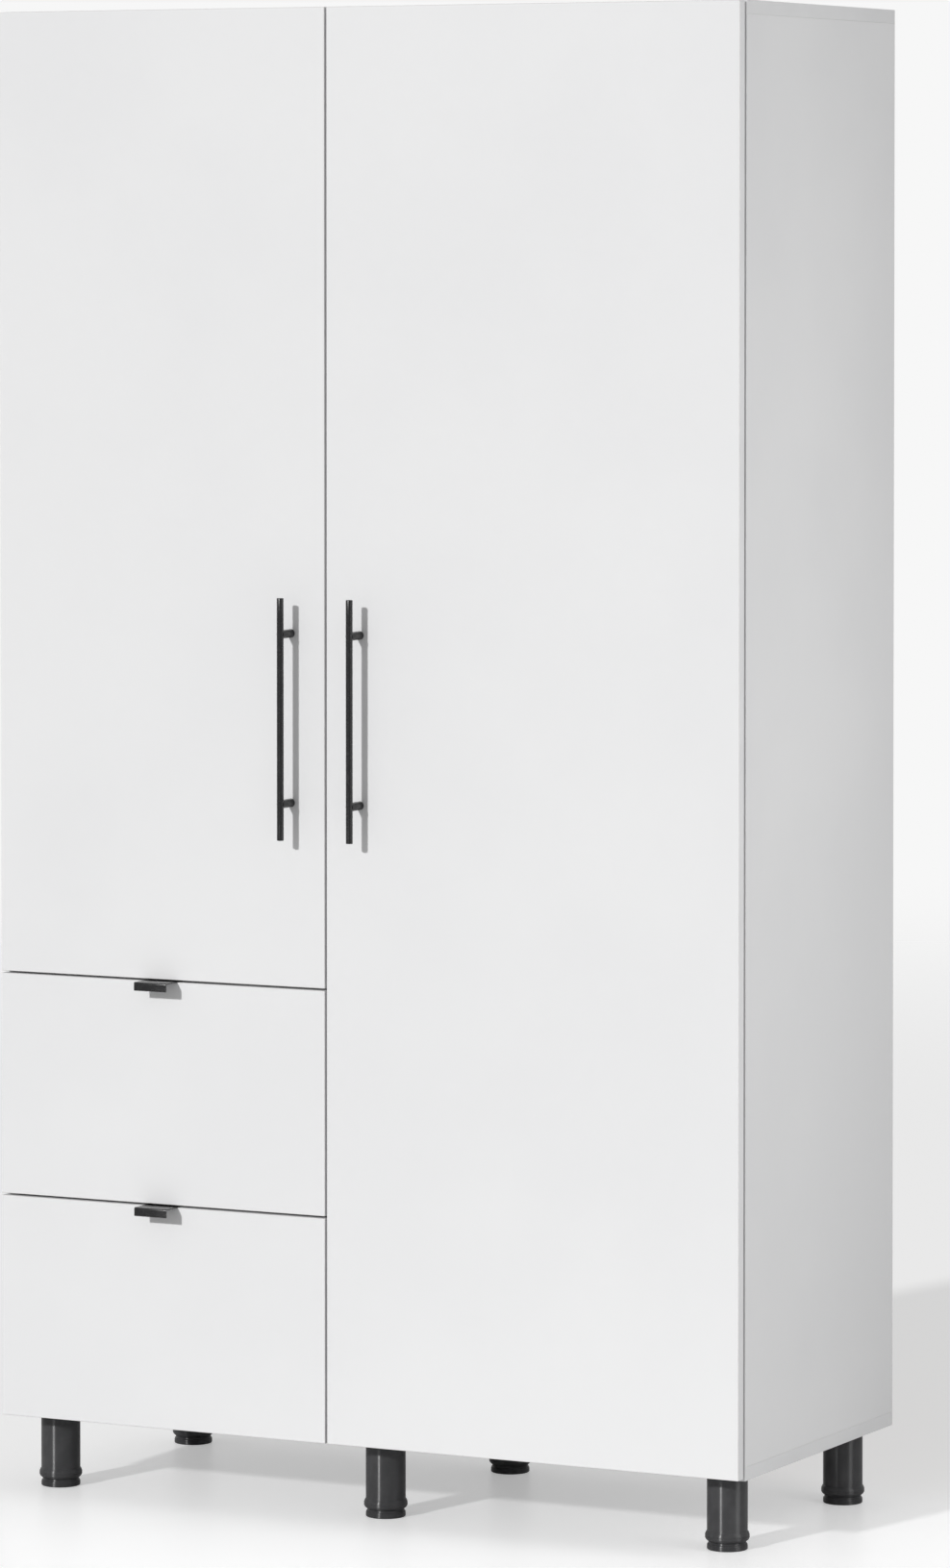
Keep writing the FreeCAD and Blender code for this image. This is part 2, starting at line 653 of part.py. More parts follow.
def drawer_pull(front_z):
    """A bent sheet over the front's top edge, with a lip in front and a screwed leg behind."""
    middle = (left_front[0] + left_front[1]) / 2
    x = (middle - pull_width / 2, middle + pull_width / 2)
    top = front_z[1] + pull_sheet
    tip_y = face_y - pull_reach
    shell = box(x, (tip_y, front_back_y + pull_sheet), (front_z[1] - pull_leg, top))
    corners = [edge for edge in shell.Edges
               if abs(edge.Vertexes[0].X - edge.Vertexes[1].X) > pull_width / 2 and edge.Vertexes[0].Z > top - 0.1]
    shell = shell.makeFillet(pull_bend, corners)
    inside = box(x, (tip_y + pull_sheet, face_y), (front_z[1] - pull_leg, front_z[1]))
    bent = [edge for edge in inside.Edges
            if abs(edge.Vertexes[0].X - edge.Vertexes[1].X) > pull_width / 2
            and edge.Vertexes[0].Z > front_z[1] - 0.1 and edge.Vertexes[0].Y < face_y - 1.0]
    inside = inside.makeFillet(pull_bend - pull_sheet, bent)
    over_front = box(x, (face_y - 1.0, front_back_y), (front_z[1] - pull_leg, front_z[1]))
    below_lip = box(x, (tip_y, face_y), (front_z[1] - pull_leg, top - pull_lip))
    pull = one_solid(shell.cut([inside, over_front, below_lip]))
    screws, front_holes = [], []
    for side in (-1, 1):
        point = V(middle + side * pull_width / 4, front_back_y + pull_sheet, front_z[1] - pull_leg + 7.0)
        hole = rod(1.5 + fit, point, -BACK, pull_sheet + 10.0)
        screws.append(screw(point, -BACK, 2.8, 1.0, 1.5, pull_sheet + 9.5))
        pull = pull.cut(hole)
        front_holes.append(hole)
    return [one_solid(pull)] + screws, front_holes


def make_drawer(name, front_z):
    """A board box on runners, with its front overlaying the carcass."""
    low = front_z[0] + drawer_rise
    high = low + drawer_height
    runner_z = (low + high) / 2
    groove_low = low + groove_rise
    groove_high = groove_low + drawer_sheet + 2 * groove_play
    sheet_x = (box_left + drawer_board - groove_depth + groove_play,
               box_right - drawer_board + groove_depth - groove_play)
    sheet_y = (front_back_y - groove_depth + groove_play, box_rear)
    groove = box((sheet_x[0] - groove_play, sheet_x[1] + groove_play),
                 (sheet_y[0] - groove_play, sheet_y[1]), (groove_low, groove_high))
    pull, pull_holes = drawer_pull(front_z)
    outers, middles, inners = [], [], []
    sides = []
    for panel, face_x, inward, x in (
            ("left_side_panel", left_inner, 1, (box_left, box_left + drawer_board)),
            ("centre_partition", partition_left, -1, (box_right - drawer_board, box_right))):
        outer, middle_set, inner_set, side_holes = runner(panel, face_x, inward, runner_z)
        side = slab(x, (front_back_y, box_rear), (low, high))
        sides.append(one_solid(side.cut([groove] + side_holes)))
        outers.append(outer)
        middles += middle_set
        inners += inner_set
    front = slab(left_front, (face_y, front_back_y), front_z, front_round)
    save(name + "_drawer_front", one_solid(front.cut([groove] + pull_holes)))
    save(name + "_drawer_sides", *sides)
    save(name + "_drawer_back", slab((box_left + drawer_board, box_right - drawer_board),
                                     (box_rear - drawer_board, box_rear), (groove_high, high)))
    save(name + "_drawer_bottom", box(sheet_x, sheet_y, (groove_low + groove_play, groove_high - groove_play)))
    save(name + "_drawer_pull", *pull)
    save(name + "_inner_rails", *inners)
    save(name + "_middle_rails", *middles)
    save(name + "_outer_rails", *outers)


def make_carcass():
    full_depth = (carcass_y, rear_y)
    upright = (inner_floor, inner_roof)
    save("bottom_panel", slab((-half_width, half_width), full_depth, (floor_z, inner_floor)))
    save("top_panel", slab((-half_width, half_width), full_depth, (inner_roof, roof_z)))
    save("left_side_panel", slab((-half_width, left_inner), full_depth, upright))
    save("centre_partition", slab((partition_left, partition_right), full_depth, upright))
    save("right_side_panel", slab((right_inner, half_width), full_depth, upright))
    save("carcass_fixings", *zinc_fixings)


make_board_joints()
make_shelves()
make_hanging_rail()
make_back_sheets()
make_legs()
make_doors()
make_drawer("lower", lower_front_z)
make_drawer("upper", upper_front_z)
make_carcass()
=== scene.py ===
import json
import math

import bmesh
import bpy
from mathutils import Matrix, Vector

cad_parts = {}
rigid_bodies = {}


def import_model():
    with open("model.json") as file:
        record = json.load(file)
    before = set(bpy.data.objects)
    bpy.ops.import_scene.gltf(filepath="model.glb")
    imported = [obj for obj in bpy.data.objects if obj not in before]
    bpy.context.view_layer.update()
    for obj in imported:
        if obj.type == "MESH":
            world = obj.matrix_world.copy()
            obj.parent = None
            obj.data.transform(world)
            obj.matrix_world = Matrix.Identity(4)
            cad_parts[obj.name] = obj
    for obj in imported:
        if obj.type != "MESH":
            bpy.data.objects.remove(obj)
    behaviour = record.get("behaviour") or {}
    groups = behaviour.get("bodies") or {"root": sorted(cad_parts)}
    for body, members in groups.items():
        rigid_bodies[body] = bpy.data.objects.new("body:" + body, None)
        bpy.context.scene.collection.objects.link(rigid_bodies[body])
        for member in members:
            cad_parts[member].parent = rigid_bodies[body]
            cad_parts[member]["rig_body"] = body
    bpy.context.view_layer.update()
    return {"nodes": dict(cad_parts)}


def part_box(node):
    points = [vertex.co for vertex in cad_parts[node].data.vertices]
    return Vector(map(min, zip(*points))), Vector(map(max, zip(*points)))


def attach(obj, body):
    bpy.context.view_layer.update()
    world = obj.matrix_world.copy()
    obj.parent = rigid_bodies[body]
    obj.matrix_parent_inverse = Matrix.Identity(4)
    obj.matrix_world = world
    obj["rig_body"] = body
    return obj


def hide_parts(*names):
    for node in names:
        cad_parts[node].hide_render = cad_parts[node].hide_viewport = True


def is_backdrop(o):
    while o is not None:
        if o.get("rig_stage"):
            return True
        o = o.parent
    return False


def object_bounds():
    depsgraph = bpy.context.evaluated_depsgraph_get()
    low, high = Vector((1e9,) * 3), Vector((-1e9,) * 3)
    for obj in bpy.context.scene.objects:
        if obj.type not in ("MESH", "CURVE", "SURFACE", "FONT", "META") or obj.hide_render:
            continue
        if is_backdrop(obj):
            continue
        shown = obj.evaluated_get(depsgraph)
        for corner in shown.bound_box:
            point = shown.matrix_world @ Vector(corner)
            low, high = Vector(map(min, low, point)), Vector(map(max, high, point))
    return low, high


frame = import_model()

mm = 0.001

# ---------------------------------------------------------------- the studio
# The wardrobe stands on a plain pale floor that fades into a plain pale surround. A soft
# sun comes from the front left, a little above eye height, and a tall panel of light
# stands close by the right side.


def node(tree, kind, feeds=None, **settings):
    """Adds a shader node. feeds gives an input a value, or another node's output."""
    made = tree.nodes.new("ShaderNode" + kind)
    for key, value in settings.items():
        setattr(made, key, value)
    for key, value in (feeds or {}).items():
        if isinstance(value, bpy.types.NodeSocket):
            tree.links.new(value, made.inputs[key])
        else:
            made.inputs[key].default_value = value
    return made


def maths(tree, operation, *values):
    return node(tree, "Math", dict(enumerate(values)), operation=operation).outputs[0]


def vector_maths(tree, operation, *values):
    return node(tree, "VectorMath", dict(enumerate(values)), operation=operation).outputs[0]


def ramp(tree, value, low, high, to_low=0.0, to_high=1.0):
    """A smooth step of a value between two limits."""
    feeds = {"Value": value, "From Min": low, "From Max": high, "To Min": to_low, "To Max": to_high}
    return node(tree, "MapRange", feeds, interpolation_type="SMOOTHSTEP").outputs["Result"]


def mixed(tree, share, first, second):
    """One colour over another."""
    feeds = {"Factor": share, "A": first, "B": second}
    return node(tree, "Mix", feeds, data_type="RGBA").outputs["Result"]


def grey(value):
    return (value, value, value, 1.0)


def new_material(name):
    material = bpy.data.materials.new(name)
    material.use_nodes = True
    material.node_tree.nodes.clear()
    return material, material.node_tree


def shade(tree, feeds, **constants):
    """The material's own shader and output."""
    shader = node(tree, "BsdfPrincipled", feeds)
    for label, value in constants.items():
        shader.inputs[label.replace("_", " ")].default_value = value
    node(tree, "OutputMaterial", {"Surface": shader.outputs[0]})


floor_radius = 9.0
floor_fade = 4.0
floor_mesh = bpy.data.meshes.new("studio_floor")
floor_bm = bmesh.new()
bmesh.ops.create_circle(floor_bm, cap_ends=True, radius=floor_radius, segments=96)
floor_bm.to_mesh(floor_mesh)
floor_bm.free()
floor = bpy.data.objects.new("studio_floor", floor_mesh)
bpy.context.collection.objects.link(floor)
floor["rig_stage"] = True

floor_paint, tree = new_material("studio_floor")
place = node(tree, "TexCoord").outputs["Object"]
reach = node(tree, "VectorMath", {0: place}, operation="LENGTH").outputs["Value"]
seen = node(tree, "LightPath").outputs["Is Camera Ray"]
shade(tree, {"Base Color": mixed(tree, seen, grey(0.64), grey(0.84)),
             "Emission Strength": maths(tree, "MULTIPLY", seen, 0.33),
             "Alpha": ramp(tree, reach, floor_fade, floor_radius, 1.0, 0.0)},
      Roughness=0.35, Emission_Color=grey(1.0))
floor_mesh.materials.append(floor_paint)

world = bpy.data.worlds.new("surround")
bpy.context.scene.world = world
world.use_nodes = True
tree = world.node_tree
tree.nodes.clear()
surround_light = 0.38
surround_seen = 0.93
seen = node(tree, "LightPath").outputs["Is Camera Ray"]
strength = ramp(tree, seen, 0.0, 1.0, surround_light, surround_seen)
sky = node(tree, "Background", {"Color": grey(1.0), "Strength": strength})
node(tree, "OutputWorld", {"Surface": sky.outputs[0]})

sun_left = math.radians(13)
sun_above = math.radians(22)
sun = bpy.data.objects.new("key_sun", bpy.data.lights.new("key_sun", "SUN"))
sun.data.energy = 2.0
sun.data.angle = math.radians(3)
sun.rotation_mode = "QUATERNION"
towards_sun = Vector((-math.sin(sun_left) * math.cos(sun_above),
                      -math.cos(sun_left) * math.cos(sun_above), math.sin(sun_above)))
sun.rotation_quaternion = towards_sun.to_track_quat("Z", "Y")
bpy.context.collection.objects.link(sun)

panel = bpy.data.objects.new("side_panel_light", bpy.data.lights.new("side_panel_light", "AREA"))
panel.data.energy = 14.6
panel.data.shape = "RECTANGLE"
panel.data.size = 0.5
panel.data.size_y = 3.6
panel.location = (1.7, -0.2, 0.65)
panel.rotation_mode = "QUATERNION"
panel.rotation_quaternion = Vector((1, 0, 0)).to_track_quat("Z", "Y")
panel.visible_camera = False
bpy.context.collection.objects.link(panel)

# The camera stands well off to the right at head height with a long lens, and looks a
# little down. Its shift lowers the picture so that the wardrobe's uprights stay upright.
camera = bpy.data.objects.new("camera", bpy.data.cameras.new("camera"))
camera.data.sensor_width = 36.0
camera.data.lens = 157.43
camera.data.shift_y = -0.22
camera.location = (4.2345, -8.1641, 1.7046)
camera.rotation_euler = (math.radians(90 - 1.736), 0, math.radians(27.122))
bpy.context.collection.objects.link(camera)
bpy.context.scene.camera = camera
bpy.context.scene.view_settings.view_transform = "Standard"

# ---------------------------------------------------------------- the carcass boards
# Chipboard faced with white melamine. Each board is sawn to size and its edges are banded
# with a thin white strip, glued on hot; drilled holes show the raw chips.


def effect(name, inputs, outputs):
    """A shared surface effect: its group, what it is given and what it puts out."""
    group = bpy.data.node_groups.new(name, "ShaderNodeTree")
    for label, kind in inputs.items():
        group.interface.new_socket(label, in_out="INPUT", socket_type="NodeSocket" + kind)
    for label, kind in outputs.items():
        group.interface.new_socket(label, in_out="OUTPUT", socket_type="NodeSocket" + kind)
    return group, group.nodes.new("NodeGroupInput").outputs, group.nodes.new("NodeGroupOutput").inputs


def apply_effect(tree, group, **feeds):
    placed = tree.nodes.new("ShaderNodeGroup")
    placed.node_tree = group
    for label, value in feeds.items():
        if isinstance(value, bpy.types.NodeSocket):
            tree.links.new(value, placed.inputs[label])
        else:
            placed.inputs[label].default_value = value
    return placed.outputs


# Tone that drifts slowly over a surface, and a finer grain in its gloss and height.
drift, given, result = effect(
    "drifting_tone", {"Place": "Vector", "Light": "Color", "Dark": "Color", "Scale": "Float"},
    {"Colour": "Color"})
cloud = node(drift, "TexNoise", {"Vector": given["Place"], "Scale": given["Scale"], "Detail": 3.0}).outputs[0]
tone = mixed(drift, ramp(drift, cloud, 0.35, 0.65), given["Dark"], given["Light"])
drift.links.new(tone, result["Colour"])

pebble, given, result = effect(
    "pebbled_skin", {"Place": "Vector", "Scale": "Float", "Smooth": "Float", "Rough": "Float"},
    {"Height": "Float", "Roughness": "Float"})
grain = node(pebble, "TexNoise", {"Vector": given["Place"], "Scale": given["Scale"],
                                  "Detail": 2.0}).outputs[0]
wide = maths(pebble, "MULTIPLY", given["Scale"], 0.04)
rubbed = node(pebble, "TexNoise", {"Vector": given["Place"], "Scale": wide, "Detail": 4.0}).outputs[0]
pebble.links.new(grain, result["Height"])
pebble.links.new(ramp(pebble, rubbed, 0.3, 0.7, given["Smooth"], given["Rough"]), result["Roughness"])

# Where a board's banded edges, the glue line beside them and its core lie.
banding, given, result = effect(
    "banded_board",
    {"Place": "Vector", "Low": "Vector", "High": "Vector", "Across": "Vector", "Band": "Float"},
    {"Edge": "Float", "Line": "Float", "Core": "Float"})
inward = vector_maths(banding, "MINIMUM", vector_maths(banding, "SUBTRACT", given["Place"], given["Low"]),
                      vector_maths(banding, "SUBTRACT", given["High"], given["Place"]))


def least(tree, vector):
    parts = node(tree, "SeparateXYZ", {0: vector}).outputs
    return maths(tree, "MINIMUM", maths(tree, "MINIMUM", parts[0], parts[1]), parts[2])


beside = least(banding, vector_maths(banding, "ADD", inward, given["Across"]))
off_line = maths(banding, "ABSOLUTE", maths(banding, "SUBTRACT", beside, given["Band"]))
banding.links.new(ramp(banding, beside, 0.05 * mm, 0.2 * mm, 1.0, 0.0), result["Edge"])
banding.links.new(ramp(banding, off_line, 0.05 * mm, 0.15 * mm, 1.0, 0.0), result["Line"])
banding.links.new(ramp(banding, least(banding, inward), 0.2 * mm, 0.4 * mm), result["Core"])

# Raw chips, pressed together with glue.
chips, given, result = effect("raw_chips", {"Place": "Vector"}, {"Colour": "Color", "Height": "Float"})
flake = node(chips, "TexVoronoi", {"Vector": given["Place"], "Scale": 900.0}).outputs["Color"]
level = node(chips, "SeparateXYZ", {0: flake}).outputs[0]
chips.links.new(mixed(chips, level, (0.30, 0.19, 0.10, 1), (0.62, 0.46, 0.28, 1)), result["Colour"])
chips.links.new(level, result["Height"])

edge_band = 0.5 * mm
facing_pebble = 1400.0


def faced_board(name, light, dark, smooth, rough, pair_thickness=None):
    """The facing, bands and core of one board, or of a mirrored pair on either side."""
    low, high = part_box(name)
    base = low.copy()
    if pair_thickness:
        base.x = (low.x + high.x) / 2
    reach = high - base
    start = Vector((reach.x - pair_thickness if pair_thickness else 0.0, 0.0, 0.0))
    thin = min(range(3), key=lambda axis: (reach - start)[axis])
    finish, tree = new_material("facing_" + name)
    place = node(tree, "TexCoord").outputs["Object"]
    within = vector_maths(tree, "ABSOLUTE", vector_maths(tree, "SUBTRACT", place, base))
    zone = apply_effect(tree, banding, Place=within, Low=start, High=reach,
                        Across=[float(axis == thin) for axis in range(3)], Band=edge_band)
    raw = apply_effect(tree, chips, Place=place)
    facing = apply_effect(tree, drift, Place=place, Light=light, Dark=dark, Scale=2.5)["Colour"]
    band_dark = [0.97 * part for part in dark]
    band_tone = apply_effect(tree, drift, Place=place, Light=dark, Dark=band_dark, Scale=9.0)
    skin = apply_effect(tree, pebble, Place=place, Scale=facing_pebble, Smooth=smooth, Rough=rough)
    colour = mixed(tree, zone["Edge"], facing, band_tone["Colour"])
    colour = mixed(tree, maths(tree, "MULTIPLY", zone["Line"], 0.35), colour, (0.42, 0.40, 0.36, 1))
    colour = mixed(tree, zone["Core"], colour, raw["Colour"])
    height = maths(tree, "ADD", maths(tree, "MULTIPLY", zone["Core"], raw["Height"]), skin["Height"])
    bump = node(tree, "Bump", {"Height": height, "Strength": 0.25, "Distance": 0.1 * mm}).outputs[0]
    roughness = maths(tree, "MAXIMUM", skin["Roughness"], maths(tree, "MULTIPLY", zone["Core"], 0.85))
    shade(tree, {"Base Color": colour, "Roughness": roughness, "Normal": bump}, IOR=1.5)
    frame["nodes"][name].material_slots[0].material = finish


carcass_white = (0.800, 0.800, 0.803, 1)
carcass_shade = (0.770, 0.771, 0.776, 1)
for name in ("bottom_panel", "top_panel", "left_side_panel", "right_side_panel", "centre_partition",
             "drawer_bay_shelf", "lower_shelf", "middle_shelf", "upper_shelf", "hat_shelf"):
    faced_board(name, carcass_white, carcass_shade, 0.42, 0.50)

# ---------------------------------------------------------------- the back sheets and drawer bottoms
# Thin hardboard, lacquered white on the face that shows inside. The other face is raw brown
# fibre with the print of the wire screen it was pressed on. Nailed on, or slid in a groove.


screen_wire = 1.6 * mm
raw_fibre = ((0.13, 0.070, 0.034, 1), (0.27, 0.155, 0.080, 1))


def hardboard(name, axis, lacquered):
    """A sheet across an axis, whose lacquered face is at its low (0) or high (1) side."""
    finish, tree = new_material("hardboard_" + name)
    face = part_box(name)[lacquered][axis]
    place = node(tree, "TexCoord").outputs["Object"]
    across = node(tree, "SeparateXYZ", {0: place}).outputs[axis]
    depth = maths(tree, "ABSOLUTE", maths(tree, "SUBTRACT", across, face))
    lacquer = ramp(tree, depth, 0.3 * mm, 0.6 * mm, 1.0, 0.0)
    paint = apply_effect(tree, drift, Place=place, Light=carcass_white, Dark=carcass_shade,
                         Scale=3.0)["Colour"]
    skin = apply_effect(tree, pebble, Place=place, Scale=900.0, Smooth=0.38, Rough=0.50)
    fibre = node(tree, "TexNoise", {"Vector": place, "Scale": 260.0, "Detail": 6.0,
                                    "Roughness": 0.7}).outputs[0]
    brown = mixed(tree, ramp(tree, fibre, 0.3, 0.7), *raw_fibre)
    turns = vector_maths(tree, "MULTIPLY", place, [2 * math.pi / screen_wire] * 3)
    wires = node(tree, "SeparateXYZ", {0: turns}).outputs
    over, under = [wires[other] for other in range(3) if other != axis]
    screen = maths(tree, "MULTIPLY", maths(tree, "SINE", over), maths(tree, "SINE", under))
    unpainted = maths(tree, "SUBTRACT", 1.0, lacquer)
    rough_side = maths(tree, "MULTIPLY", unpainted, maths(tree, "ADD", screen, fibre))
    height = maths(tree, "ADD", maths(tree, "MULTIPLY", skin["Height"], 0.2), rough_side)
    bump = node(tree, "Bump", {"Height": height, "Strength": 0.5, "Distance": 0.15 * mm}).outputs[0]
    roughness = maths(tree, "MAXIMUM", skin["Roughness"], ramp(tree, lacquer, 0.0, 1.0, 0.82, 0.0))
    shade(tree, {"Base Color": mixed(tree, lacquer, brown, paint), "Roughness": roughness, "Normal": bump})
    frame["nodes"][name].material_slots[0].material = finish


for name in ("left_back_panel", "right_back_panel"):
    hardboard(name, 1, 0)
for name in ("upper_drawer_bottom", "lower_drawer_bottom"):
    hardboard(name, 2, 1)

# ---------------------------------------------------------------- the doors and drawer fronts
# The same board in a brighter, smoother white, banded on all four edges. Their faces are
# the cleanest of the wardrobe, with only a trace of the press in them.
front_white = (0.825, 0.826, 0.829, 1)
front_shade = (0.805, 0.806, 0.811, 1)
for name in ("left_door", "right_door", "upper_drawer_front", "lower_drawer_front"):
    faced_board(name, front_white, front_shade, 0.40, 0.46)

# ---------------------------------------------------------------- the drawer boxes
# Two sides and a back of thinner faced board, grooved for the bottom, behind each front.
drawer_board = 12 * mm
for name in ("upper_drawer", "lower_drawer"):
    faced_board(name + "_sides", carcass_white, carcass_shade, 0.42, 0.50, pair_thickness=drawer_board)
    faced_board(name + "_back", carcass_white, carcass_shade, 0.42, 0.50)

# ---------------------------------------------------------------- screws and nails
# Pan-head screws of zinc-plated steel with a rolled thread and a cross recess hold the legs,
# hinge plates, runners and rail sockets. Small flat-headed nails hold the back sheets.


def skinned(bm, loops, wrap=False):
    """Joins a row of loops, each of as many points; a loop of one point closes an end."""
    rows = [[bm.verts.new(point) for point in loop] for loop in loops]
    pairs = list(zip(rows, rows[1:])) + ([(rows[-1], rows[0])] if wrap else [])
    for near, far in pairs:
        for n in range(max(len(near), len(far))):
            after = n + 1
            corners = (near[n % len(near)], near[after % len(near)], far[after % len(far)], far[n % len(far)])
            corners = list(dict.fromkeys(corners))
            if len(corners) > 2:
                bm.faces.new(corners)


def turned(rings, steps=32, ridges=None, wrap=False, form=None):
    """Spins rings of (radius, height, ridge depth) about Z. ridges(turn, height) is from 0 to 1."""
    loops = []
    for ring in rings:
        radius, height = ring[:2]
        depth = ring[2] if len(ring) > 2 else 0.0
        loop = []
        for n in range(steps if radius else 1):
            turn = n / steps
            cut = depth * ridges(turn, height) if depth else 0.0
            angle = turn * 2 * math.pi
            loop.append(((radius - cut) * math.cos(angle), (radius - cut) * math.sin(angle), height))
        loops.append(loop)
    form = form or bmesh.new()
    skinned(form, loops, wrap)
    return form


def rounded(corners, steps=4):
    """The points of an outline whose corners, each (u, v, radius), are rounded by arcs."""
    points = []
    for n, (u, v, radius) in enumerate(corners):
        here = Vector((u, v))
        if not radius:
            points.append((u, v))
            continue
        back = Vector(corners[n - 1][:2]) - here
        ahead = Vector(corners[(n + 1) % len(corners)][:2]) - here
        half = back.angle(ahead) / 2
        along = min(radius / math.tan(half), 0.48 * min(back.length, ahead.length))
        middle = here + (back.normalized() + ahead.normalized()).normalized() * along / math.cos(half)
        start = here + back.normalized() * along - middle
        end = here + ahead.normalized() * along - middle
        points += [tuple(middle + start.slerp(end, k / steps).normalized() * start.length)
                   for k in range(steps + 1)]
    return points


def zigzag(value):
    """A wave from 0 up to 1 and back for each whole step."""
    return 1.0 - abs(value % 1.0 * 2.0 - 1.0)


def threaded(radius, top, bottom, pitch, depth, point=0.0):
    """Rings of a screw thread from top down to bottom, running out at the top and to a point."""
    count = max(4, round((top - bottom) / pitch * 4))
    rings = []
    for n in range(count + 1):
        height = top + (bottom - top) * n / count
        slim = min(1.0, (height - bottom) / point + 0.08) if point else 1.0
        rings.append((radius * slim, height, depth * min(1.0, n / 4) * slim))
    return rings


def mesh_of(form, name="form"):
    mesh = bpy.data.meshes.new(name)
    bmesh.ops.recalc_face_normals(form, faces=form.faces)
    form.to_mesh(mesh)
    form.free()
    return mesh


def carved(form, cutter):
    """The first form with the second cut out of it, as a mesh."""
    pair = [bpy.data.objects.new("form", mesh_of(shape)) for shape in (form, cutter)]
    for shape in pair:
        bpy.context.collection.objects.link(shape)
    cut = pair[0].modifiers.new("cut", "BOOLEAN")
    cut.object = pair[1]
    cut.solver = "EXACT"
    mesh = bpy.data.meshes.new_from_object(pair[0].evaluated_get(bpy.context.evaluated_depsgraph_get()))
    for shape in pair:
        bpy.data.objects.remove(shape)
    return mesh


def cross_recess(width, top, bottom):
    """A cutter for a cross recess, narrowing towards its floor."""
    arm, slot = width / 2, width * 0.14
    outline = [(arm, -slot), (arm, slot), (slot, slot), (slot, arm), (-slot, arm), (-slot, slot),
               (-arm, slot), (-arm, -slot), (-slot, -slot), (-slot, -arm), (slot, -arm), (slot, -slot)]
    cutter = bmesh.new()
    levels = ((1.08, top), (0.55, bottom))
    skinned(cutter, [[(0, 0, top)]] + [[(x * share, y * share, z) for x, y in outline] for share, z in levels]
            + [[(0, 0, bottom)]])
    return cutter


screw_forms = {}


def screw_form(head, head_height, shank, length):
    """A screw standing on its point, the seat of its head at height 0. Made once per size."""
    key = tuple(round(value / mm, 2) for value in (head, head_height, shank, length))
    if key in screw_forms:
        return screw_forms[key]
    if shank < 1.0 * mm:
        nail = [(0, head_height), (head * 0.8, head_height), (head, head_height * 0.6), (head * 0.9, 0),
                (shank, -0.3 * mm), (shank, -length + 3 * shank), (0, -length)]
        screw_forms[key] = mesh_of(turned(nail, 20))
        return screw_forms[key]
    crown = ((0, 1.0), (0.35, 0.98), (0.6, 0.91), (0.8, 0.76), (0.93, 0.52), (1.0, 0.24), (1.0, 0.08),
             (0.96, 0.0))
    dome = [(head * share, head_height * rise) for share, rise in crown]
    pitch = shank * 0.75
    thread = threaded(shank, -0.01 * mm, -length, pitch, shank * 0.24, 1.6 * shank)
    form = turned(dome + thread + [(0, -length)], 24, lambda turn, height: zigzag(turn + height / pitch))
    recess = cross_recess(head * 1.1, head_height * 1.3, head_height * 0.25)
    screw_forms[key] = carved(form, recess)
    return screw_forms[key]


def solids_of(name):
    """The separate solids of a node, each as its list of points, in the node's own order."""
    bm = bmesh.new()
    bm.from_mesh(frame["nodes"][name].data)
    bmesh.ops.remove_doubles(bm, verts=bm.verts, dist=0.001 * mm)
    met, solids = set(), []
    for first in bm.verts:
        if first in met:
            continue
        met.add(first)
        solid, waiting = [], [first]
        while waiting:
            corner = waiting.pop()
            solid.append(corner.co.copy())
            for edge in corner.link_edges:
                other = edge.other_vert(corner)
                if other not in met:
                    met.add(other)
                    waiting.append(other)
        solids.append(solid)
    bm.free()
    return solids


def turned_axis(solid):
    """(axis, middle, low, high) of a round solid, or None if it isn't round."""
    low, high = ([pick(point[axis] for point in solid) for axis in range(3)] for pick in (min, max))
    size = [high[axis] - low[axis] for axis in range(3)]
    for axis in range(3):
        first, second = [size[other] for other in range(3) if other != axis]
        if abs(first - second) < 0.2 * mm and abs(first - size[axis]) > 0.2 * mm:
            middle = Vector([(low[k] + high[k]) / 2 for k in range(3)])
            return axis, middle, low[axis], high[axis]
    return None


def radius_at(solid, axis, middle, height):
    """The greatest and least distance from the axis of the points at one height."""
    reach = []
    for point in solid:
        if abs(point[axis] - height) < 0.01 * mm:
            out = point - middle
            out[axis] = 0.0
            reach.append(out.length)
    return max(reach), min(reach)


def add_copy(form, mesh, seat, direction, spin=0.0):
    """Puts a copy of a mesh into a form, with its foot at seat and its top along direction."""
    first = len(form.verts)
    form.from_mesh(mesh)
    form.verts.ensure_lookup_table()
    turn = direction.to_track_quat("Z", "Y").to_matrix().to_4x4() @ Matrix.Rotation(spin, 4, "Z")
    bmesh.ops.transform(form, matrix=Matrix.Translation(seat) @ turn, verts=form.verts[first:])


def add_screws(form, name):
    """Copies the right screw or nail onto each round solid of a node."""
    for count, solid in enumerate(solids_of(name)):
        found = turned_axis(solid)
        if not found:
            continue
        axis, middle, low, high = found
        ends = {end: radius_at(solid, axis, middle, end)[0] for end in (low, high)}
        top = max(ends, key=ends.get)
        tip = low if top == high else high
        head, shank = ends[top], ends[tip]
        rim = [point[axis] for point in solid
               if math.dist([point[k] for k in range(3) if k != axis],
                            [middle[k] for k in range(3) if k != axis]) > 0.9 * head]
        seat = min(rim, key=lambda height: abs(height - tip))
        direction, foot = Vector(), middle.copy()
        direction[axis] = math.copysign(1.0, top - tip)
        foot[axis] = seat
        mesh = screw_form(head, abs(top - seat), shank, abs(seat - tip))
        add_copy(form, mesh, foot, direction, count * 2.4)


def add_piece(name, shape, body, stands_for, finish, crease=40):
    """Puts a finished shape into the wardrobe, on its body and in place of its nodes."""
    mesh = shape if isinstance(shape, bpy.types.Mesh) else mesh_of(shape, name)
    mesh.name = name
    mesh.materials.clear()
    mesh.materials.append(finish)
    mesh.polygons.foreach_set("use_smooth", [True] * len(mesh.polygons))
    mesh.set_sharp_from_angle(angle=math.radians(crease))
    piece = bpy.data.objects.new(name, mesh)
    bpy.context.collection.objects.link(piece)
    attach(piece, body)
    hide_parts(*stands_for)


